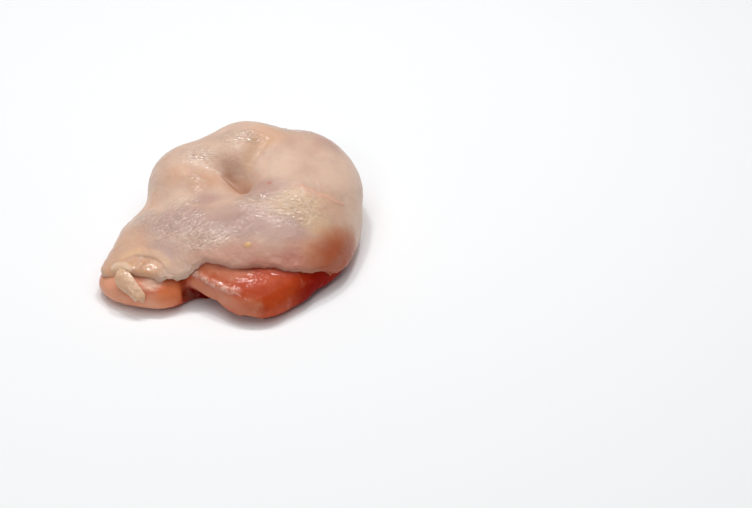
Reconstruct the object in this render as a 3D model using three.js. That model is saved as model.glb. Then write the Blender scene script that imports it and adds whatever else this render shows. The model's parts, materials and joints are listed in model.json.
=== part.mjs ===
// A raw boneless chicken thigh with its skin on, lying skin side up.
//
// The bone has been cut out from below, so the meat is a loose cluster of dark-meat muscles that
// sag on the surface they lie on. The skin is one thin sheet over the top and the sides. It dips
// between the muscles, and it ends in a free hem that leaves the muscles bare at the front.
// Millimetres, +Z up, the origin on the resting surface under the middle of the thigh.
// -Y is the front, where the bare muscle shows, and +X is the right.

import * as THREE from "three";

// ---- Driving dimensions ----

const GRID = 36; // quads along each side of a surface patch, an even number
const LAYER_GAP = 0.4; // free film between the meat and what lies on it
const SKIN_THICKNESS = 1.4;
const FOOT_ROUNDING = 5; // where the meat's sides turn under onto the resting surface
const HEART = new THREE.Vector3(2, 11, 9.5); // the whole surface of the meat is seen from here

// The muscles: centre, half sizes, turn about Z (yaw) and then nose-down tip along their own X
// (dip) in degrees, and how softly each joins the ones before it.
const MUSCLES = [
  { at: [5.5, 7.5, 6], half: [38.5, 38.5, 18], yaw: 0, dip: 0, blend: 5.5 }, // the main mass
  { at: [22.5, 13, 14], half: [24.5, 30.5, 16.5], yaw: -18, dip: 0, blend: 7.5 }, // outer muscle, on the right
  { at: [24, 30.5, 14.5], half: [14.5, 13.5, 14.5], yaw: 0, dip: 0, blend: 7.5 }, // its end, at the back
  { at: [4.5, 28.5, 16.5], half: [19.5, 18.5, 18], yaw: 0, dip: 0, blend: 5.5 }, // hump at the back
  { at: [-14, 21, 14.5], half: [18.5, 19, 14.5], yaw: 0, dip: 0, blend: 5.5 }, // hump on the left
  { at: [3.5, -13, 11], half: [31.5, 18.5, 13], yaw: 0, dip: 0, blend: 7.5 }, // shoulder over the front
  { at: [-22, -8.5, 7], half: [22, 19.5, 12], yaw: 32, dip: 0, blend: 7.5 }, // slope to the tail
  { at: [-38, -25, 3], half: [11.5, 11.5, 8.5], yaw: 0, dip: 0, blend: 6.5 }, // tip of the tail, at the left
  { at: [-25, -27.5, 4], half: [13, 12.5, 9.5], yaw: 0, dip: 0, blend: 7.5 }, // root of the tail
  { at: [3.5, -32.5, 8], half: [19.5, 9, 6.5], yaw: -33, dip: 12, blend: 4.5 }, // bare flap in front
  { at: [20, -26.5, 4], half: [24.5, 12.5, 11.5], yaw: 41, dip: 0, blend: 4.5 }, // bare muscle beside it
  { at: [-7.5, -26, 3], half: [9, 8.5, 6.5], yaw: 0, dip: 0, blend: 3 }, // sunken muscle under the flap
  { at: [32.5, 0, 6], half: [12.5, 21, 11.5], yaw: 0, dip: 0, blend: 7.5 }, // low flank on the right
];

// Hollows pressed into the muscles: the same, with how deep each is at its middle.
const HOLLOWS = [
  { at: [4.5, 4.5, 25], half: [6.5, 5.5, 8.5], yaw: 0, dip: 0, depth: 3.5 }, // navel where the skin sinks
  { at: [-7.5, 14, 26.5], half: [13, 4.5, 7.5], yaw: -28, dip: 0, depth: 3 }, // valley from it, to the left
  { at: [8.5, 18.5, 28.5], half: [4.5, 12, 7.5], yaw: 0, dip: 0, depth: 2.5 }, // valley from it, to the back
  { at: [3.5, 5.5, 0], half: [31.5, 6.5, 8], yaw: 12, dip: 0, depth: 17 }, // channel that the bone left
  { at: [18.5, -13, 0], half: [16.5, 4.5, 6], yaw: -50, dip: 0, depth: 12 }, // cleft between muscles, below
  { at: [-7.5, 26, 0], half: [14.5, 5, 6], yaw: 65, dip: 0, depth: 12 }, // another, towards the back
];

// The skin's hem: its height above the resting surface, by compass bearing from the heart
// (0 at +X, 90 at the back), in degrees.
const HEM = [
  [-179, 7.5],
  [-160, 8.5],
  [-143, 9.5],
  [-136, 12.5],
  [-125, 14],
  [-111, 12.5],
  [-105, 17.5],
  [-85, 17],
  [-72, 17],
  [-58, 14],
  [-46, 10],
  [-38, 6],
  [-20, 4.5],
  [25, 5],
  [55, 7.5],
  [80, 5],
  [105, 9],
  [130, 6],
  [155, 7.5],
];

// The strand of fat on the tail: its route as bearings from the heart and heights above the
// resting surface, and its size.
const FAT_ROUTE = [
  [-133.5, 11],
  [-130, 10.8],
  [-127, 9.8],
  [-124.7, 8],
  [-123, 5.5],
];
const FAT_WIDTH = 4.6;
const FAT_THICKNESS = 1.5;

// ---- The meat's surface ----

// The matrix that carries a point into a muscle's or a hollow's own frame.
function ownFrame({ at, yaw, dip }) {
  const turn = new THREE.Euler(0, THREE.MathUtils.degToRad(dip), THREE.MathUtils.degToRad(yaw), "ZYX");
  const place = new THREE.Matrix4().makeRotationFromEuler(turn).setPosition(...at);
  return place.invert();
}
for (const shape of [...MUSCLES, ...HOLLOWS]) shape.inward = ownFrame(shape);

const local = new THREE.Vector3();

// Roughly how far a point lies outside a muscle, negative inside it.
function outside(point, { inward, half: [a, b, c] }) {
  local.copy(point).applyMatrix4(inward);
  const reach = Math.hypot(local.x / a, local.y / b, local.z / c);
  const slope = Math.hypot(local.x / (a * a), local.y / (b * b), local.z / (c * c));
  return slope > 0 ? (reach * (reach - 1)) / slope : -Math.min(a, b, c);
}

// How deep a hollow presses at a point.
function pressed(point, { inward, half: [a, b, c], depth }) {
  local.copy(point).applyMatrix4(inward);
  return depth * Math.exp(-((local.x / a) ** 2) - (local.y / b) ** 2 - (local.z / c) ** 2);
}

// Joins two distances with a rounded seam.
function blended(first, second, softness) {
  const overlap = Math.max(softness - Math.abs(first - second), 0) / softness;
  return Math.min(first, second) - (overlap * overlap * softness) / 4;
}

// How far a point lies outside the meat. The resting surface cuts it off flat, with a soft edge.
function outsideMeat(point) {
  let distance = Infinity;
  for (const muscle of MUSCLES) {
    const next = outside(point, muscle);
    distance = distance === Infinity ? next : blended(distance, next, muscle.blend);
  }
  for (const hollow of HOLLOWS) distance += pressed(point, hollow);
  return -blended(-distance, point.z, FOOT_ROUNDING);
}

const STRIDE = 1.5; // steps of the search for the surface, outwards from the heart
const REACH = 85;

// The point in a direction, given by its bearing and its angle from +Z, that lies a lift above
// the meat's surface.
function surfacePoint(bearing, tilt, lift = 0) {
  const flat = Math.sin(tilt);
  const way = new THREE.Vector3(flat * Math.cos(bearing), flat * Math.sin(bearing), Math.cos(tilt));
  const at = (distance) => new THREE.Vector3().copy(HEART).addScaledVector(way, distance);
  let inner = 0;
  while (inner < REACH && outsideMeat(at(inner + STRIDE)) < lift) inner += STRIDE;
  let outer = inner + STRIDE;
  for (let i = 0; i < 30; i++) {
    const middle = (inner + outer) / 2;
    if (outsideMeat(at(middle)) < lift) inner = middle;
    else outer = middle;
  }
  const found = at(outer);
  if (Math.abs(found.z) < 1e-4) found.z = 0;
  return found;
}

// ---- Meridians: lines down the surface, from the top over the hem to the underside ----

const TURN = 2 * Math.PI;
const BEARINGS = 4 * GRID;
const TILTS = 160;

// A smooth closed curve through [degrees, value] stations.
function around(stations, bearing) {
  const count = stations.length;
  const degrees = ((((bearing * 180) / Math.PI + 180) % 360) + 360) % 360 - 180;
  let i = count - 1;
  while (i > 0 && stations[i][0] > degrees) i--;
  const station = (k) => {
    const [angle, value] = stations[(k + count) % count];
    return [angle + 360 * Math.floor(k / count), value];
  };
  const [[, before], [a0, from], [a1, to], [, after]] = [i - 1, i, i + 1, i + 2].map(station);
  const t = (degrees - a0) / (a1 - a0);
  return THREE.MathUtils.clamp(
    catmullRom(t, before, from, to, after),
    Math.min(from, to) - 1,
    Math.max(from, to) + 1,
  );
}

function catmullRom(t, before, from, to, after) {
  const v0 = (to - before) / 2;
  const v1 = (after - from) / 2;
  return (2 * from - 2 * to + v0 + v1) * t ** 3 + (3 * (to - from) - 2 * v0 - v1) * t ** 2 + v0 * t + from;
}

// For one bearing: the tilt at each distance down the line, and the distance of the hem.
function meridian(bearing) {
  const tilts = [];
  const lengths = [];
  let last = null;
  let length = 0;
  let hem = 0;
  const hemHeight = around(HEM, bearing);
  for (let i = 0; i <= TILTS; i++) {
    const tilt = (Math.PI * i) / TILTS;
    const point = surfacePoint(bearing, tilt);
    const step = last ? point.distanceTo(last) : 0;
    if (last && last.z > hemHeight && point.z <= hemHeight) {
      hem = length + (step * (last.z - hemHeight)) / (last.z - point.z);
    }
    length += step;
    tilts.push(tilt);
    lengths.push(length);
    last = point;
  }
  return { tilts, lengths, hem, length };
}

const meridians = [];
for (let i = 0; i < BEARINGS; i++) meridians.push(meridian((TURN * i) / BEARINGS));

// The tilt at a distance down one meridian.
function tiltAt({ tilts, lengths }, distance) {
  let i = 1;
  while (i < lengths.length - 1 && lengths[i] < distance) i++;
  const t = (distance - lengths[i - 1]) / (lengths[i] - lengths[i - 1] || 1);
  return THREE.MathUtils.lerp(tilts[i - 1], tilts[i], THREE.MathUtils.clamp(t, 0, 1));
}

const CROWDING = 1.15; // how much closer the rings of the lower patch lie towards the hem

// The direction of a point of the surface, as its bearing and its tilt, by bearing and by share
// of the way from the top to the hem (above) or from the underside's middle to the hem (below).
function directionAt(bearing, share, below) {
  const fromHem = (1 - share) ** CROWDING;
  const position = ((((bearing / TURN) % 1) + 1) % 1) * BEARINGS;
  const first = Math.floor(position) % BEARINGS;
  const pair = [meridians[first], meridians[(first + 1) % BEARINGS]];
  const [tilt0, tilt1] = pair.map((line) =>
    tiltAt(line, below ? line.hem + fromHem * (line.length - line.hem) : share * line.hem),
  );
  return [bearing, THREE.MathUtils.lerp(tilt0, tilt1, position - Math.floor(position))];
}

// ---- Surface patches ----

// A round patch of GRID by GRID quads with even spacing along its rim: rows of directions.
function roundPatch(below) {
  const rows = [];
  const half = GRID / 2;
  const warp = (i) => Math.SQRT2 * Math.sin((Math.PI / 4) * ((i - half) / half));
  for (let j = 0; j <= GRID; j++) {
    const row = [];
    for (let i = 0; i <= GRID; i++) {
      const u = warp(i);
      const v = warp(j);
      const x = u * Math.sqrt(1 - (v * v) / 2);
      const y = v * Math.sqrt(1 - (u * u) / 2);
      const corner = below ? Math.PI / 4 : 0; // the two patches' corners don't meet
      row.push(directionAt(Math.atan2(y, x) + corner, Math.min(Math.hypot(x, y), 1), below));
    }
    rows.push(row);
  }
  return rows;
}

// A patch's points, at a lift above the meat.
function lifted(rows, lift) {
  return rows.map((row) => row.map(([bearing, tilt]) => surfacePoint(bearing, tilt, lift)));
}

// The points round a patch's rim, anticlockwise seen from above, from the bearing of its corner.
function rim(rows) {
  const n = rows.length - 1;
  const points = [];
  for (let i = 0; i < n; i++) points.push(rows[0][i]);
  for (let j = 0; j < n; j++) points.push(rows[j][n]);
  for (let i = n; i > 0; i--) points.push(rows[n][i]);
  for (let j = n; j > 0; j--) points.push(rows[j][0]);
  return points;
}

// ---- Meshes ----

// Collects triangles between shared points.
class Facets {
  constructor() {
    this.positions = [];
    this.indices = [];
    this.known = new Map();
  }

  number(point) {
    const key = [point.x, point.y, point.z].map((value) => Math.round(value * 1000)).join();
    if (!this.known.has(key)) {
      this.known.set(key, this.positions.length / 3);
      this.positions.push(point.x, point.y, point.z);
    }
    return this.known.get(key);
  }

  quad(a, b, c, d) {
    const [p, q, r, s] = [a, b, c, d].map((point) => this.number(point));
    for (const triangle of [[p, q, r], [p, r, s]]) {
      if (new Set(triangle).size === 3) this.indices.push(...triangle);
    }
  }

  patch(rows, faceDown) {
    for (let j = 0; j < rows.length - 1; j++) {
      for (let i = 0; i < rows[j].length - 1; i++) {
        const [near, far] = [rows[j][i], rows[j + 1][i + 1]]; // every quad is split between these
        const [left, right] = [rows[j + 1][i], rows[j][i + 1]];
        if (faceDown) this.quad(near, left, far, right);
        else this.quad(near, right, far, left);
      }
    }
  }

  band(lower, upper) {
    lower.forEach((point, i) => {
      const next = (i + 1) % lower.length;
      this.quad(point, lower[next], upper[next], upper[i]);
    });
  }

  mesh(name, material) {
    const geometry = new THREE.BufferGeometry();
    geometry.setAttribute("position", new THREE.Float32BufferAttribute(this.positions, 3));
    geometry.setIndex(this.indices);
    geometry.computeVertexNormals();
    const made = new THREE.Mesh(geometry, material);
    made.name = name;
    return made;
  }
}

const above = roundPatch(false);
const below = roundPatch(true);

// The meat: the patch under the skin and the bare patch below it, joined along the hem.
function makeMeat() {
  const facets = new Facets();
  facets.patch(lifted(above, 0), false);
  facets.patch(lifted(below, 0), true);
  return facets.mesh("thigh_meat", new THREE.MeshStandardMaterial({ color: "#c4583a", roughness: 0.3 }));
}

// The skin: the upper patch lifted off the meat, with a thickness and a rounded rim.
function makeSkin() {
  const inner = lifted(above, LAYER_GAP);
  const outer = lifted(above, LAYER_GAP + SKIN_THICKNESS);
  const facets = new Facets();
  facets.patch(outer, false);
  facets.patch(inner, true);
  facets.band(rim(inner), rim(outer));
  return facets.mesh("thigh_skin", new THREE.MeshStandardMaterial({ color: "#d9b49c", roughness: 0.35 }));
}

const FAT_STEPS = 16; // along the strand, and half as many across it

// The direction of the point at a height on the side of the meat, at a bearing.
function directionAtHeight(bearing, height) {
  let high = Math.PI / 4;
  let low = (7 * Math.PI) / 12;
  for (let i = 0; i < 30; i++) {
    const middle = (high + low) / 2;
    if (surfacePoint(bearing, middle).z > height) high = middle;
    else low = middle;
  }
  return [bearing, high];
}

// The fat strand: a flat tongue that follows its route over the meat, with thin edges.
function makeFat() {
  const stops = FAT_ROUTE.map(([degrees, height]) =>
    surfacePoint(...directionAtHeight(THREE.MathUtils.degToRad(degrees), height)),
  );
  const route = new THREE.CatmullRomCurve3(stops);
  const top = [];
  const base = [];
  for (let i = 0; i <= FAT_STEPS; i++) {
    const share = i / FAT_STEPS;
    const point = route.getPointAt(share);
    const outwards = point.clone().sub(HEART).normalize();
    const side = route.getTangentAt(share).cross(outwards).normalize();
    const fullness = Math.sqrt(Math.max(1 - (2 * share - 1) ** 4, 0)); // blunt round ends
    const line = { top: [], base: [] };
    for (let j = -FAT_STEPS / 4; j <= FAT_STEPS / 4; j++) {
      const across = j / (FAT_STEPS / 4);
      const away = point.clone().addScaledVector(side, (across * fullness * FAT_WIDTH) / 2).sub(HEART);
      const direction = [Math.atan2(away.y, away.x), Math.acos(away.z / away.length())];
      const thickness = FAT_THICKNESS * fullness * Math.sqrt(1 - across * across);
      line.base.push(surfacePoint(...direction, LAYER_GAP));
      line.top.push(surfacePoint(...direction, LAYER_GAP + thickness));
    }
    top.push(line.top);
    base.push(line.base);
  }
  const facets = new Facets();
  facets.patch(top, false);
  facets.patch(base, true);
  return facets.mesh("fat_strand", new THREE.MeshStandardMaterial({ color: "#e8c9a0", roughness: 0.35 }));
}

// ---- The whole thigh, with its origin under the middle of its box ----

const thigh = new THREE.Group();
thigh.add(makeMeat(), makeSkin(), makeFat());
const middle = new THREE.Box3().setFromObject(thigh).getCenter(new THREE.Vector3());
thigh.position.set(-middle.x, -middle.y, 0);

export default thigh;
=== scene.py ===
import json
import math

import bpy
import numpy as np
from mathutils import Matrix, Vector
from mathutils.kdtree import KDTree

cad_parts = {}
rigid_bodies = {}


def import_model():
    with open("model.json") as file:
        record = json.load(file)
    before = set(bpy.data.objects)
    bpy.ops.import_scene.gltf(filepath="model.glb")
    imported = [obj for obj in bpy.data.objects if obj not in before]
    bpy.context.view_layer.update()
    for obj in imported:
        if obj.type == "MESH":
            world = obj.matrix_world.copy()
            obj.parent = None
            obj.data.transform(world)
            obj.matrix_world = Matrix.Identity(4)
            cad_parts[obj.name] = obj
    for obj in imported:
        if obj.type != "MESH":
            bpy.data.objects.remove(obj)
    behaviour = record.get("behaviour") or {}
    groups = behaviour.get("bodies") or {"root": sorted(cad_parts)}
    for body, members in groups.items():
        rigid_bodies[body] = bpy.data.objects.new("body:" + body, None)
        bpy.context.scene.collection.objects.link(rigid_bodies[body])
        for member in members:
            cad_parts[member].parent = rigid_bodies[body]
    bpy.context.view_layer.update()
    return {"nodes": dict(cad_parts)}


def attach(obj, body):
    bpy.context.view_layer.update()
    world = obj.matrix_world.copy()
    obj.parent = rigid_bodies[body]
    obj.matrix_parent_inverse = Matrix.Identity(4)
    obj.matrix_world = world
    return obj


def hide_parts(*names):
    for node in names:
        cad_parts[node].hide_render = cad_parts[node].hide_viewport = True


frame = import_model()


# ---- The meat ----
# The dark meat of the thigh, boned out: soft muscles grown together, held by thin membranes.
# It starts as the thigh's solid, is remeshed evenly, and gets its fibres, seams and wet gloss.

MM = 0.001


def select_only(piece):
    """Selects one piece alone, and makes it the active one."""
    bpy.ops.object.select_all(action="DESELECT")
    piece.select_set(True)
    bpy.context.view_layer.objects.active = piece


def merged_copy(node, name):
    """A new piece from a solid's own surface, merged and turned from triangles to quads."""
    piece = bpy.data.objects.new(name, frame["nodes"][node].data.copy())
    bpy.context.collection.objects.link(piece)
    piece.data.materials.clear()
    select_only(piece)
    bpy.ops.mesh.customdata_custom_splitnormals_clear()
    bpy.ops.object.mode_set(mode="EDIT")
    bpy.ops.mesh.select_all(action="SELECT")
    bpy.ops.mesh.remove_doubles(threshold=0.01 * MM)
    bpy.ops.mesh.tris_convert_to_quads(face_threshold=math.pi, shape_threshold=math.pi)
    bpy.ops.object.mode_set(mode="OBJECT")
    return piece


def modify(piece, kind, **settings):
    """Adds a modifier with these settings to a piece and applies it."""
    modifier = piece.modifiers.new(kind, kind)
    for setting, value in settings.items():
        setattr(modifier, setting, value)
    select_only(piece)
    bpy.ops.object.modifier_apply(modifier=modifier.name)


def edit(piece, elements, chosen=()):
    """Opens a piece for editing, with only the chosen vertices, edges or faces selected."""
    select_only(piece)
    bpy.ops.object.mode_set(mode="EDIT")
    bpy.ops.mesh.select_mode(type=elements)
    bpy.ops.mesh.select_all(action="DESELECT")
    bpy.ops.object.mode_set(mode="OBJECT")
    mesh = piece.data
    parts = {"VERT": mesh.vertices, "EDGE": mesh.edges, "FACE": mesh.polygons}[elements]
    for index in chosen:
        parts[index].select = True
    bpy.ops.object.mode_set(mode="EDIT")


def points_of(piece):
    """The places of a piece's vertices, in millimetres."""
    places = np.empty(3 * len(piece.data.vertices))
    piece.data.vertices.foreach_get("co", places)
    return places.reshape(-1, 3) / MM


def near(points, spots):
    """How strongly points belong to the nearest of some soft spots, each a centre and its radii."""
    most = np.zeros(len(points))
    for centre, radii in spots:
        offset = (points - centre) / radii
        most = np.maximum(most, 1 - (offset ** 2).sum(axis=1))
    return most ** 1.5


def along(points, route, radius):
    """How strongly points belong to a soft band along a route, from 0 to 1."""
    least = np.full(len(points), float(radius))
    for start, end in zip(np.array(route[:-1]), np.array(route[1:])):
        way = end - start
        share = np.clip((points - start) @ way / (way @ way), 0, 1)
        least = np.minimum(least, np.linalg.norm(points - start - np.outer(share, way), axis=1))
    return (1 - (least / radius) ** 2) ** 2


def ease(value, start, end):
    """A smooth step from 0 where a value is at its start to 1 where it is at its end."""
    share = np.clip((value - start) / (end - start), 0, 1)
    return share * share * (3 - 2 * share)


FULL_FROM, FULL_TO = 0.45, 0.75  # a fold is at its full depth between these shares of its route


def fold(points, route, width, lip):
    """Two soft bands along a route seen from above: a dip on its left, and the lip over it."""
    route = np.array(route)[:, :2]
    nearest = np.full(len(points), np.inf)
    passed = np.zeros(len(points))
    for number, (start, end) in enumerate(zip(route[:-1], route[1:])):
        way = end - start
        offset = points[:, :2] - start
        share = np.clip(offset @ way / (way @ way), 0, 1)
        gap = np.linalg.norm(offset - np.outer(share, way), axis=1)
        side = np.where(way[0] * offset[:, 1] > way[1] * offset[:, 0], gap, -gap)
        closer = gap < abs(nearest)
        nearest[closer] = side[closer]
        passed[closer] = (number + share[closer]) / (len(route) - 1)
    fade = ease(passed, 0, FULL_FROM) * ease(passed, 1, FULL_TO)
    dip = np.where(nearest > 0, ease(nearest, width, 0), ease(nearest, -lip, 0))
    crest = ease(nearest, -5 * lip, -2 * lip) * ease(nearest, 0, -1.5 * lip)
    return dip * fade, crest * fade


def paint(piece, name, strength):
    """Keeps a strength for each vertex, from 0 to 1, as an attribute and as a vertex group."""
    strength = np.clip(strength, 0, 1)
    attribute = piece.data.attributes.new(name, "FLOAT", "POINT")
    attribute.data.foreach_set("value", strength)
    area = piece.vertex_groups.new(name=name + "_area")
    for index in np.flatnonzero(strength):
        area.add([int(index)], float(strength[index]), "REPLACE")


def relief(piece, grain, height, area="", turn=0, direction="NORMAL"):
    """Raises a piece by a pattern whose grain, in millimetres along X, Y and Z, may be turned."""
    guide = bpy.data.objects.new("guide", None)
    bpy.context.collection.objects.link(guide)
    guide.scale = [size * MM for size in grain]
    guide.rotation_euler.z = math.radians(turn)
    bpy.context.view_layer.update()
    pattern = bpy.data.textures.new("relief", "CLOUDS")
    pattern.noise_scale = 1
    pattern.noise_basis = "IMPROVED_PERLIN"
    modify(
        piece, "DISPLACE", texture=pattern, texture_coords="OBJECT", texture_coords_object=guide,
        strength=height * MM, vertex_group=area and area + "_area", direction=direction,
    )
    bpy.data.objects.remove(guide)
    bpy.data.textures.remove(pattern)


def raise_area(piece, name, height, direction="NORMAL"):
    """Raises a painted area of a piece by this many millimetres, or sinks it."""
    modify(
        piece, "DISPLACE", strength=height * MM, mid_level=0,
        vertex_group=name + "_area", direction=direction,
    )


# The skin's crease and valley, which the meat under it follows.
CREASE = [
    (-13, 17), (-9, 14.8), (-5.6, 12.3), (-2.6, 9.4), (0.2, 6.4), (2.8, 3.8), (5.4, 1.4), (8, 0.2),
]
CREASE_WIDTH = 11
CREASE_LIP = 2
VALLEY = [(3.5, 6), (5, 10), (7, 14.5), (9.5, 19), (13, 24), (17, 28)]
VALLEY_WIDTH = 9
VALLEY_LIP = 3
VALLEY_SHARE = 0.5  # of the crease's depth


def creased(points):
    """How strongly points belong to the crease, to the valley, and to what sinks with them."""
    crease_dip = fold(points, CREASE, CREASE_WIDTH, CREASE_LIP)[0]
    valley_dip = fold(points, VALLEY, VALLEY_WIDTH, VALLEY_LIP)[0]
    return crease_dip, valley_dip, np.maximum(crease_dip, VALLEY_SHARE * valley_dip)


# Where the bare front has its forms, its colours and its painted shade and highlight: routes and
# soft spots.
FLAP_BAND = [(-11.4, -34.6, 9.4), (-6, -37, 8), (-1.6, -40.5, 8), (5.5, -44.5, 8), (9, -47, 6)]
FLAP_RIDGE = [(-12.5, -32.5, 13.5), (-6.7, -36.2, 12.1), (-1.4, -39.5, 11.9), (5.3, -42.1, 12)]
# Under the flap the meat is cut back and painted darker, as shade.
UNDER_FLAP = [(-5, -38, 0), (1, -41.5, 0), (6.5, -44.5, 0)]
FLAP_EDGE = [
    (-14.3, -33.2, 11.6), (-11.4, -34.6, 9.4), (-8.1, -36.3, 6.9), (-1.6, -40.8, 5), (5, -45, 4),
]
# The cave between the tail and the flap is sunk and painted near black red, as shade.
CAVE = [(-15.5, -34, 6), (-12.3, -35.5, 3.5), (-9.5, -36, 2), (-6, -38, 0.5)]
# The meat's right side, away from the lamps: painted shade, deep dark red.
SHADED_SIDE = [((37, -32, 3), (22, 14, 16)), ((45, -20, 4), (13, 13, 9))]
# The crease beside the tail's lobe is sunk and painted darker, as shade.
LOBE_CREASE = [(-16.5, -34, 12), (-16, -36, 8), (-15.5, -36, 3)]
TAIL = [((-43, -33, 7), (18, 15, 13)), ((-28, -41, 4), (12, 5, 7))]
TAIL_HOLLOW = [((-28, -36.5, 11.5), (5.5, 4, 4.5))]
HEM_SHADE = [(-2, -34, 17), (4, -34, 16.5), (13, -34, 16.5), (22, -33, 14), (33, -30, 11)]
TAIL_ROOT = [((-21.5, -38, 8), (8, 8, 8))]
PALE = [((-8, -33, 15.5), (10, 5, 5)), ((1, -35, 15.5), (11, 5, 5)), ((8, -45, 6), (8, 6, 8))]

MEAT_VOXEL = 0.62

meat = merged_copy("thigh_meat", "thigh_muscles")
modify(meat, "SUBSURF", levels=2, render_levels=2)
meat.data.remesh_voxel_size = MEAT_VOXEL * MM
bpy.ops.object.voxel_remesh()
modify(meat, "SMOOTH", factor=0.5, iterations=6)

points = points_of(meat)
paint(meat, "band", along(points, FLAP_BAND, 5.2) * ease(points[:, 0], 9, 1))
paint(meat, "ridge", along(points, FLAP_RIDGE, 2.1) * ease(points[:, 0], 7, 2))
paint(meat, "under", 2 * along(points, UNDER_FLAP, 6.5) * ease(points[:, 2], 4.6, 2.2))
paint(meat, "flap_edge", along(points, FLAP_EDGE, 2.4))
paint(meat, "cave", 1.6 * along(points, CAVE, 5))
paint(meat, "cave_dip", along(points, CAVE, 4.2) * ease(points[:, 2], 0.4, 3))
paint(meat, "dark", near(points, SHADED_SIDE) ** 0.6)
paint(meat, "crease", along(points, LOBE_CREASE, 2.2))
paint(meat, "tail", near(points, TAIL) ** 0.5)
paint(meat, "tail_hollow", near(points, TAIL_HOLLOW))
paint(meat, "hem_shade", along(points, HEM_SHADE, 4))
paint(meat, "tail_root", near(points, TAIL_ROOT))
paint(meat, "pale", near(points, PALE))
paint(meat, "sunk", creased(points)[2])

raise_area(meat, "sunk", -2.6)
raise_area(meat, "ridge", 0.6)
raise_area(meat, "under", 4.5, direction="Y")
raise_area(meat, "crease", -1.0)
raise_area(meat, "cave_dip", -2.4)
raise_area(meat, "flap_edge", 0.7)
modify(meat, "SMOOTH", factor=0.5, iterations=6)
raise_area(meat, "tail_hollow", -0.4)
relief(meat, (9, 9, 9), 0.7)
relief(meat, (2.4, 2.4, 8), 0.3, turn=20)
relief(meat, (1.3, 1.3, 1.3), 0.9, area="tail_hollow")
relief(meat, (1.3, 1.3, 1.3), 0.5, area="ridge")
modify(meat, "SMOOTH", factor=0.4, iterations=1)

FLAT_BELOW = 0.35
edit(meat, "VERT", np.flatnonzero(points_of(meat)[:, 2] < FLAT_BELOW))
bpy.ops.transform.resize(value=(1, 1, 0), center_override=(0, 0, 0))
bpy.ops.object.mode_set(mode="OBJECT")
bpy.ops.object.shade_smooth()


def linear(red, green, blue):
    """A colour given as it looks on screen, from 0 to 255, in the shader's linear values."""
    levels = [level / 255 for level in (red, green, blue)]
    return [((c + 0.055) / 1.055) ** 2.4 if c > 0.04045 else c / 12.92 for c in levels] + [1]


class Finish:
    """A material under construction: its nodes, with short ways to lay colours over each other."""

    def __init__(self, name):
        self.material = bpy.data.materials.new(name)
        self.material.use_nodes = True
        self.tree = self.material.node_tree
        self.shader = self.tree.nodes["Principled BSDF"]
        self.place = self.tree.nodes.new("ShaderNodeTexCoord").outputs["Object"]

    def node(self, kind, settings=(), **inputs):
        """A new node with these settings and inputs."""
        made = self.tree.nodes.new("ShaderNode" + kind)
        for setting, value in dict(settings).items():
            setattr(made, setting, value)
        for name, value in inputs.items():
            self.plug(made.inputs[name.replace("_", " ")], value)
        return made

    def plug(self, socket, value):
        """Links a socket to another node's output, or gives it a plain value."""
        if isinstance(value, bpy.types.NodeSocket):
            self.tree.links.new(value, socket)
        else:
            socket.default_value = value

    def painted(self, name):
        """The strength that paint() kept on the piece."""
        return self.node("Attribute", {"attribute_name": name}).outputs["Fac"]

    def stretched(self, grain, turn=0):
        """The place on the piece, in grains of this many millimetres along X, Y and Z."""
        made = self.node("Mapping", {"vector_type": "TEXTURE"}, Vector=self.place)
        made.inputs["Scale"].default_value = [size * MM for size in grain]
        made.inputs["Rotation"].default_value = (0, 0, math.radians(turn))
        return made.outputs["Vector"]

    def noise(self, grain, turn=0, detail=3.0, distortion=0.0):
        """A cloudy pattern of this grain, from 0 to 1."""
        made = self.node("TexNoise", Vector=self.stretched(grain, turn))
        made.inputs["Scale"].default_value = 1
        made.inputs["Detail"].default_value = detail
        made.inputs["Distortion"].default_value = distortion
        return made.outputs["Fac"]

    def between(self, value, low, high, to_low=0.0, to_high=1.0):
        """A value spread from low..high to to_low..to_high and held there."""
        made = self.node("MapRange", {"interpolation_type": "SMOOTHSTEP"}, Value=value)
        made.inputs["From Min"].default_value = low
        made.inputs["From Max"].default_value = high
        made.inputs["To Min"].default_value = to_low
        made.inputs["To Max"].default_value = to_high
        return made.outputs["Result"]

    def maths(self, operation, first, second):
        """Two values taken together."""
        made = self.node("Math", {"operation": operation})
        self.plug(made.inputs[0], first)
        self.plug(made.inputs[1], second)
        return made.outputs["Value"]

    def over(self, below, above, share):
        """One colour laid over another by a share."""
        made = self.node("Mix", {"data_type": "RGBA", "clamp_factor": True}, Factor=share)
        colour_a, colour_b = [socket for socket in made.inputs if socket.type == "RGBA"]
        self.plug(colour_a, below)
        self.plug(colour_b, above)
        return next(socket for socket in made.outputs if socket.type == "RGBA")

    def bumped(self, height, distance, normal=None):
        """A fine relief this many millimetres high, on top of another one."""
        made = self.node("Bump", Height=height)
        made.inputs["Distance"].default_value = distance * MM
        if normal:
            self.plug(made.inputs["Normal"], normal)
        return made.outputs["Normal"]

    def settle(self, values):
        """Sets or links the shader's own inputs."""
        for name, value in values.items():
            self.plug(self.shader.inputs[name], value)

    def glazed(self, normal):
        """Lets the flesh and its wet coat share the same fine relief."""
        self.settle({"Normal": normal, "Coat Normal": normal})


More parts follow.
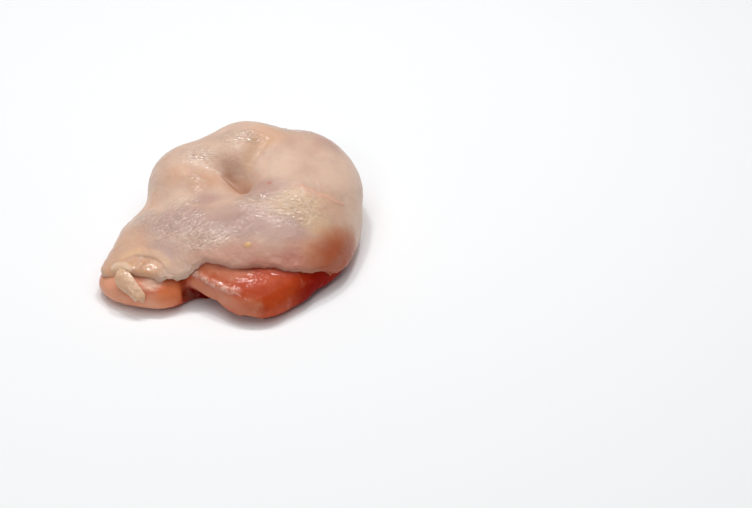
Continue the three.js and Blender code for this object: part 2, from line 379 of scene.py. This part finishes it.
flesh = Finish("raw dark meat")
blotches = flesh.noise((9, 9, 9))
fibres = flesh.noise((0.9, 0.9, 7), turn=20, detail=4)
fine_fibres = flesh.noise((0.4, 0.4, 3), turn=20)
wet_grain = flesh.noise((1.8, 1.8, 1.8), detail=1)
colour = flesh.over(linear(184, 66, 26), linear(196, 80, 38), flesh.between(blotches, 0.35, 0.65))
colour = flesh.over(colour, linear(180, 70, 34), flesh.between(fibres, 0.45, 0.75, 0, 0.35))
for area, shade, most in (
    ("hem_shade", (160, 52, 26), 0.5),
    ("tail", (236, 168, 136), 0.95),
    ("tail_root", (224, 130, 84), 0.85),
    ("pale", (206, 126, 94), 0.8),
    ("band", (218, 142, 112), 0.9),
    # the pale membrane along the ridge, partly a painted highlight
    ("ridge", (224, 160, 134), 0.5),
    ("tail_hollow", (240, 190, 162), 0.9),
    # painted shade: on the far side, under the flap, in the cave and in the lobe's crease
    ("dark", (142, 16, 5), 1),
    ("under", (130, 30, 20), 0.7),
    ("cave", (110, 0, 4), 1),
    ("crease", (150, 60, 34), 0.5),
):
    share = flesh.between(flesh.painted(area), 0, 0.95, 0, most)
    colour = flesh.over(colour, linear(*shade), share)
# Painted highlights: broken pale glints along the wet ridge.
glint_flecks = flesh.between(wet_grain, 0.45, 0.62, 0, 0.7)
ridge_painted_glints = flesh.maths("MULTIPLY", flesh.painted("ridge"), glint_flecks)
colour = flesh.over(colour, linear(240, 196, 176), ridge_painted_glints)
membrane = flesh.between(flesh.noise((4, 4, 7), detail=5), 0.55, 0.72, 0, 0.18)
colour = flesh.over(colour, linear(226, 170, 140), membrane)
wettest = flesh.maths("ADD", flesh.painted("ridge"), flesh.painted("tail_hollow"))
fine = flesh.bumped(fine_fibres, 0.012)
fine = flesh.bumped(wet_grain, 0.15, fine)
fine = flesh.bumped(flesh.maths("MULTIPLY", wettest, wet_grain), 0.5, fine)
flesh.glazed(flesh.bumped(fibres, 0.06, fine))
shaded = flesh.maths("ADD", flesh.painted("dark"), flesh.painted("cave"))
wet = flesh.maths("SUBTRACT", wettest, flesh.maths("MULTIPLY", shaded, 0.3))
flesh.settle({
    "Base Color": colour,
    "Roughness": flesh.between(wet_grain, 0.3, 0.7, 0.25, 0.4),
    "IOR": 1.33,
    "Specular IOR Level": 0.05,
    "Coat Weight": flesh.between(wet, -0.3, 0.5, 0, 1),
    "Coat Roughness": 0.1,
    "Coat IOR": 1.55,
    "Subsurface Weight": 0.25,
    "Subsurface Radius": (1.0, 0.3, 0.15),
    "Subsurface Scale": 2 * MM,
})
meat.data.materials.append(flesh.material)

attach(meat, "root")
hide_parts("thigh_meat")


# ---- The skin ----
# One thin moist sheet with the fat under it, over the top and the sides of the meat. It shrinks
# in fine wrinkles, sinks into a navel between the muscles, and ends in a free, fatty hem.

# Where the skin has its colours, its painted shade and light, and its low relief: soft spots and
# routes.
SKIN_SPOTS = {
    "mauve": [
        ((-18, -14, 22), (22, 12, 13)), ((-23, -25, 18), (11, 8, 7)), ((2, -17, 25), (24, 13, 13)),
        ((20, -20, 24), (18, 9, 10)), ((-9, -3, 24), (9, 6, 8)), ((12, -2, 29), (14, 8, 8)),
        ((30, 30, 24), (16, 16, 10)), ((-28, 32, 18), (16, 14, 10)),
    ],
    # Orange patches of the skin; the spot at (-11, 8, 26), on the lower left hump, is painted
    # shade.
    "orange_and_shade": [
        ((-20, 10, 26), (9, 7, 9)), ((-38, -20, 14), (15, 17, 12)), ((-32, 3, 16), (7, 10, 13)),
        ((36, -7, 26), (12, 8, 10)), ((12, 27, 35), (11, 10, 8)), ((-11, 8, 26), (9, 7, 9)),
        ((-40, 8, 10), (12, 18, 9)), ((4, 46, 16), (22, 9, 12)),
    ],
    "yellow": [
        ((25, -9, 27), (14, 9, 10)), ((32, -14, 24), (10, 8, 9)), ((-12, 42, 10), (18, 12, 9)),
        ((47, 16, 10), (9, 18, 9)),
    ],
    # Cream patches of the skin; the spots at the far left and far right edges, (-32, 10, 20) and
    # (47, -1, 20), are a painted rim of light.
    "cream_and_rim_light": [
        ((2, 25, 36), (22, 16, 14)), ((17, 11, 32), (13, 12, 10)), ((-16, 19, 31), (16, 14, 12)),
        ((38, 12, 25), (14, 18, 14)), ((-32, 10, 20), (10, 14, 14)), ((-23, 1, 23), (11, 12, 11)),
        ((47, -1, 20), (8, 13, 12)),
    ],
    "brown": [((39, -22, 9), (19, 20, 15))],
    "tan": [((40, -21, 12), (23, 18, 15))],
    "rosy": [((24, -30, 15), (16, 8, 9)), ((13, -32, 16.5), (12, 5, 5))],
    "pink": [((5, -31, 19), (28, 9, 9)), ((26, -27, 16), (20, 10, 10))],
    # Painted shade: a darker patch on the front slope of the top.
    "painted_shade": [((4, -19, 26), (15, 8, 8))],
    "crown": [((4, 26, 36), (18, 12, 8))],
    # Painted shade in the navel and in the hollow left of it.
    "navel": [((2.5, 5.5, 24), (9, 7, 6)), ((-12, 5, 27), (9, 7, 6))],
    "wrinkled_left": [
        ((-19, -15, 22), (17, 13, 12)), ((-9, -23, 23), (13, 9, 10)), ((-32, -8, 18), (8, 8, 8)),
        ((-19, -4, 24), (9, 6, 7)),
    ],
    "wrinkled_right": [
        ((22, -11, 26), (20, 11, 12)), ((10, -8, 27), (12, 7, 10)), ((2, 25, 35), (13, 5, 6)),
        ((-15, 20, 30), (10, 6, 8)), ((20, 38, 28), (20, 10, 12)),
    ],
    "fleck": [((7.5, -27.7, 22.6), (1.9, 1.3, 1.8))],
    "blood": [((14.1, 0.4, 30.2), (1.8, 0.9, 1.5))],
    "bare_fat": [((-31, -32, 15), (11, 6.5, 6)), ((-40, -30, 12), (9, 6, 5))],
    "glints": [
        ((-12, -32.5, 14.5), (4.5, 4, 5)), ((-23.5, -34, 15), (3.5, 3.5, 3.5)),
        ((37, -13, 21), (5, 5, 5)),
    ],
}
FOLDED = [((1, 12, 28), (30, 26, 26))]
SNAG = [((38.5, -28, 8), (5, 5, 5))]  # the hem stands out here, and is smoothed down
VEIN = [
    (26.5, -1.4, 30), (28.3, -2.7, 29.7), (30.5, -2.4, 29.1), (33, -3.6, 28), (36, -3.2, 26.7),
    (39, -3.9, 25), (42.5, -2.4, 22.4),
]
VEIN_TWIG = [(27.5, -4, 29.5), (31, -4.8, 28), (34, -4.4, 27.2)]
FAT_EDGE = [
    (-20, -35.5), (-22.5, -34.2), (-24.2, -31.6), (-27.1, -29.3), (-30.5, -27.9), (-34.4, -26.5),
    (-38.5, -27), (-42, -28.5),
]
STRAND_ROOT = [(-41.5, -28.6, 13), (-38.5, -30, 14), (-36.6, -32, 14)]

HEART = Vector((2, 9.6, 9.5)) * MM  # a point inside the meat that sees the whole skin
LEAST_OUTWARD = 0.1  # the outer face looks away from it at least this much
SKIN_THICKNESS = 1.4
HEM_DEPTH = 9  # the hem is uneven over this distance
LIP = 2.4  # and thins out over this one
LIP_SHARE = 0.15  # of the skin's thickness, left at its very edge
LIP_TUCK = 1.35 * SKIN_THICKNESS

skin = merged_copy("thigh_skin", "skin_sheet")

# Only the outer face is kept and shaped: its parts look away from the heart of the meat.
facing = [face.normal.dot((face.center - HEART).normalized()) for face in skin.data.polygons]
edit(skin, "FACE", [index for index, share in enumerate(facing) if share < LEAST_OUTWARD])
bpy.ops.mesh.delete(type="FACE")
bpy.ops.object.mode_set(mode="OBJECT")
modify(skin, "SUBSURF", levels=3, render_levels=3)

edit(skin, "EDGE")
bpy.ops.mesh.select_all(action="SELECT")
bpy.ops.mesh.region_to_loop()
bpy.ops.object.mode_set(mode="OBJECT")
hem = [vertex.co.copy() for vertex in skin.data.vertices if vertex.select]
hem_tree = KDTree(len(hem))
for index, place in enumerate(hem):
    hem_tree.insert(place, index)
hem_tree.balance()
points = points_of(skin)
inward = np.array([hem_tree.find(point)[2] / MM for point in points * MM])  # from the hem
for area, spots in SKIN_SPOTS.items():
    paint(skin, area, near(points, spots))
crease_dip, valley_dip, sunk = creased(points)
paint(skin, "sunk", sunk)
paint(skin, "folded", 2 * near(points, FOLDED))
# The crease and valley strengths are kept for the shade painted into them.
paint(skin, "crease_dip", crease_dip ** 4)
paint(skin, "valley_dip", valley_dip)
fat_dip, fat_lip = fold(points, FAT_EDGE, 5, 1)
paint(skin, "fat_dip", fat_dip)
paint(skin, "fat_lip", fat_lip)
paint(skin, "vein", np.maximum(along(points, VEIN, 1.1), 0.6 * along(points, VEIN_TWIG, 0.9)))
paint(skin, "strand_root", along(points, STRAND_ROOT, 3))
paint(skin, "snag", 3 * near(points, SNAG))
paint(skin, "hem", 1 - inward / HEM_DEPTH)
paint(skin, "lip", 1 - np.sqrt(1 - np.clip(1 - inward / LIP, 0, 1) ** 2))
paint(skin, "away_from_lip", LIP_SHARE + (1 - LIP_SHARE) * inward / LIP)

raise_area(skin, "sunk", -1.6)
modify(skin, "SMOOTH", factor=0.5, iterations=20, vertex_group="folded_area")
raise_area(skin, "fat_dip", -0.35)
raise_area(skin, "fat_lip", 0.15)
raise_area(skin, "strand_root", 0.9)
relief(skin, (9, 9, 9), 0.7)
relief(skin, (9, 9, 9), 2, area="hem", direction="Z")
relief(skin, (4, 4, 4), 0.5, area="hem")
relief(skin, (2.6, 1.3, 1.6), 1, area="wrinkled_left", turn=30)
relief(skin, (2.8, 1.2, 1.5), 1, area="wrinkled_right", turn=-5)
relief(skin, (3, 2.4, 2.6), 0.28)
relief(skin, (1.8, 1.8, 1.8), 0.4, area="bare_fat")
relief(skin, (1.3, 1.3, 1.3), 0.5, area="glints")
raise_area(skin, "vein", 0.3)
raise_area(skin, "crown", -0.1)
raise_area(skin, "fleck", 0.25)
raise_area(skin, "lip", -LIP_TUCK)
modify(skin, "SMOOTH", factor=0.5, iterations=60, vertex_group="snag_area")

# The lining that never shows is thinned out, but for its rows along the hem.
ROWS_KEPT = 9
LINING_KEPT = 0.05
skin.vertex_groups.new(name="lining")
modify(
    skin, "SOLIDIFY", thickness=SKIN_THICKNESS * MM, offset=-1,
    vertex_group="away_from_lip_area", shell_vertex_group="lining",
)
lining = skin.vertex_groups["lining"].index
edit(skin, "VERT", [
    vertex.index for vertex in skin.data.vertices
    if any(group.group == lining and group.weight > 0.5 for group in vertex.groups)
])
for _ in range(ROWS_KEPT):
    bpy.ops.mesh.select_less()
bpy.ops.mesh.decimate(ratio=LINING_KEPT)
bpy.ops.object.mode_set(mode="OBJECT")
bpy.ops.object.shade_smooth()
skin.vertex_groups.clear()

film = Finish("raw chicken skin")
clouds = film.noise((10, 10, 10), detail=2)
mottles = film.noise((7, 7, 7), detail=3, distortion=0.3)
grain = film.noise((1.4, 1.4, 1.4), detail=2)
pores = film.noise((0.5, 0.5, 0.5), detail=2)
left_wrinkles = film.noise((2.2, 0.9, 1.2), turn=30, detail=2, distortion=0.8)
right_wrinkles = film.noise((2.4, 0.8, 1.1), turn=-5, detail=2, distortion=0.8)
unevenness = film.between(clouds, 0.3, 0.7, 0.8, 1.2)
colour = film.over(linear(216, 183, 162), linear(211, 175, 153), film.between(clouds, 0.35, 0.65))
for area, shade, most in (
    # cream skin, with a painted rim of light at the side edges
    ("cream_and_rim_light", (228, 196, 174), 0.75),
    ("mauve", (194, 158, 147), 0.8),
    ("pink", (206, 154, 134), 0.9),
    ("rosy", (186, 118, 98), 0.85),
    # orange skin, and painted shade on the lower left hump
    ("orange_and_shade", (224, 174, 140), 0.45),
    # painted shade on the front slope of the top
    ("painted_shade", (176, 142, 130), 0.6),
    ("yellow", (222, 188, 152), 0.7),
    ("tan", (206, 146, 108), 0.85),
    ("brown", (170, 82, 46), 0.92),
    ("bare_fat", (220, 168, 128), 0.9),
    ("fat_lip", (236, 196, 152), 0.5),
    ("strand_root", (238, 202, 168), 1),
    # painted shade in the navel, along the valley and deepest along the crease
    ("navel", (200, 156, 128), 0.7),
    ("valley_dip", (206, 160, 122), 0.5),
    ("crease_dip", (164, 114, 84), 0.85),
    ("vein", (232, 178, 154), 0.6),
    ("fleck", (222, 176, 106), 0.8),
    ("blood", (214, 104, 98), 0.5),
):
    uneven = film.maths("MULTIPLY", film.painted(area), unevenness)
    colour = film.over(colour, linear(*shade), film.between(uneven, 0, 0.8, 0, most))
colour = film.over(colour, linear(186, 140, 122), film.between(grain, 0.5, 0.75, 0, 0.08))
colour = film.over(colour, linear(178, 136, 128), film.between(mottles, 0.4, 0.75, 0, 0.2))
fine = film.bumped(pores, 0.02)
fine = film.bumped(grain, 0.2, fine)
# Painted highlights: the crests of the wrinkles are laid over in a pale pearly colour.
painted_wrinkle_highlights = 0
for area, wrinkles in (("wrinkled_left", left_wrinkles), ("wrinkled_right", right_wrinkles)):
    lit_wrinkle_crests = film.maths("MULTIPLY", film.painted(area), film.between(wrinkles, 0.52, 0.64))
    painted_wrinkle_highlights = film.maths("MAXIMUM", painted_wrinkle_highlights, lit_wrinkle_crests)
    fine = film.bumped(film.maths("MULTIPLY", film.painted(area), wrinkles), 0.85, fine)
colour = film.over(colour, linear(246, 226, 206), film.maths("MULTIPLY", painted_wrinkle_highlights, 0.48))
film.glazed(fine)
wet = film.maths("ADD", film.painted("wrinkled_left"), film.painted("wrinkled_right"))
wet = film.maths("ADD", wet, film.maths("ADD", film.painted("glints"), film.painted("bare_fat")))
film.settle({
    "Base Color": colour,
    "Roughness": film.between(grain, 0.3, 0.7, 0.4, 0.5),
    "IOR": 1.4,
    "Specular IOR Level": 0.3,
    "Coat Weight": film.between(wet, 0, 0.7, 0.18, 1),
    "Coat Roughness": 0.1,
    "Coat IOR": 1.55,
    "Sheen Weight": 0.15,
    "Sheen Roughness": 0.4,
    "Subsurface Weight": 0.3,
    "Subsurface Radius": (1.0, 0.5, 0.3),
    "Subsurface Scale": 0.4 * MM,
})
skin.data.materials.append(film.material)

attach(skin, "root")
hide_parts("thigh_skin")


# ---- The strand of fat ----
# A soft cream strand that hangs from the fatty edge of the skin over the tail of the thigh.
# It starts as its solid, is rounded, and gets lumps and a moist shine.

STRAND_VOXEL = 0.2
LAP_FROM = 9
LAP_LENGTH = 3.5
LAP_SHIFT = (-3.4, 1.9, 1.8)
FORK = [((-32.2, -41, 5.2), (1.5, 2.4, 2.4))]
FORK_SHIFT = (-0.9, 1.9, 1.7)


def shift_area(piece, name, shift):
    """Moves a painted area of a piece by this many millimetres along X, Y and Z."""
    for vertex, share in zip(piece.data.vertices, piece.data.attributes[name].data):
        vertex.co += Vector(shift) * MM * share.value


strand = merged_copy("fat_strand", "strand_of_fat")
modify(strand, "SUBSURF", levels=3, render_levels=3)
strand.data.remesh_voxel_size = STRAND_VOXEL * MM
bpy.ops.object.voxel_remesh()
modify(strand, "SMOOTH", factor=0.5, iterations=8)

# Its upper end is drawn up and out, to lap over the skin's hem, and its foot is forked.
points = points_of(strand)
paint(strand, "lap", (points[:, 2] - LAP_FROM) / LAP_LENGTH)
paint(strand, "fork", near(points, FORK))
shift_area(strand, "lap", LAP_SHIFT)
shift_area(strand, "fork", FORK_SHIFT)
relief(strand, (2.2, 2.2, 2.2), 0.7)
relief(strand, (0.9, 0.9, 0.9), 0.12)
bpy.ops.object.shade_smooth()

fat = Finish("raw fat")
lumps = fat.noise((2, 2, 2))
fat.glazed(fat.bumped(fat.noise((0.8, 0.8, 0.8), detail=1), 0.1))
fat.settle({
    "Base Color": fat.over(
        linear(228, 186, 150), linear(220, 176, 142), fat.between(lumps, 0.35, 0.65),
    ),
    "Roughness": fat.between(lumps, 0.3, 0.7, 0.28, 0.45),
    "Coat Weight": 0.8,
    "Coat Roughness": 0.12,
    "Subsurface Weight": 0.3,
    "Subsurface Radius": (1.0, 0.6, 0.4),
    "Subsurface Scale": 0.4 * MM,
})
strand.data.materials.append(fat.material)

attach(strand, "root")
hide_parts("fat_strand")


# ---- The studio ----
# A plain white floor, soft light from above and a little behind, and a camera that looks down on
# the thigh from the front. The lights' sizes keep the shadow soft and close under the meat.

FLOOR_WIDTH = 6
bpy.ops.mesh.primitive_plane_add(size=FLOOR_WIDTH, location=(0, 0, 0))
floor = bpy.context.active_object
floor.name = "floor"
paper = Finish("white floor")
paper.settle({"Base Color": (0.94, 0.95, 0.96, 1), "Roughness": 0.9, "Specular IOR Level": 0})
floor.data.materials.append(paper.material)

LIGHTS = [  # name, place, width, depth, power
    ("ceiling", (0, -0.1, 1.1), 1.7, 1.3, 4.9),
    ("overhead_softbox", (0, 0.16, 0.8), 1.2, 0.5, 1.6),
    ("left_softbox", (-0.12, 0.24, 0.75), 0.1, 0.1, 1.2),
    ("right_softbox", (0.14, 0.24, 0.75), 0.1, 0.1, 1.3),
    ("front_glint", (-0.2, -0.62, 0.55), 0.22, 0.1, 0.6),
]
for name, place, width, depth, power in LIGHTS:
    bpy.ops.object.light_add(type="AREA", location=place)
    light = bpy.context.active_object
    light.name = name
    light.data.shape = "ELLIPSE"
    light.data.size = width
    light.data.size_y = depth
    light.data.energy = power
    light.rotation_euler = (-Vector(place)).to_track_quat("-Z", "Y").to_euler()

ROOM_LIGHT = 0.15
world = bpy.data.worlds.new("soft white room")
world.use_nodes = True
world.node_tree.nodes["Background"].inputs["Color"].default_value = (1, 1, 1, 1)
world.node_tree.nodes["Background"].inputs["Strength"].default_value = ROOM_LIGHT
bpy.context.scene.world = world
bpy.context.scene.view_settings.view_transform = "Standard"

CAMERA_TARGET = Vector((54.3, -4.2, 0)) * MM
CAMERA_DISTANCE = 680.8 * MM
CAMERA_ELEVATION = math.radians(38)
CAMERA_LENS = 85
bpy.ops.object.camera_add()
camera = bpy.context.active_object
camera.name = "camera"
camera.data.lens = CAMERA_LENS
camera.data.clip_start = 0.01
back = Vector((0, -math.cos(CAMERA_ELEVATION), math.sin(CAMERA_ELEVATION)))
camera.location = CAMERA_TARGET + back * CAMERA_DISTANCE
camera.rotation_euler = (math.pi / 2 - CAMERA_ELEVATION, 0, 0)
bpy.context.scene.camera = camera
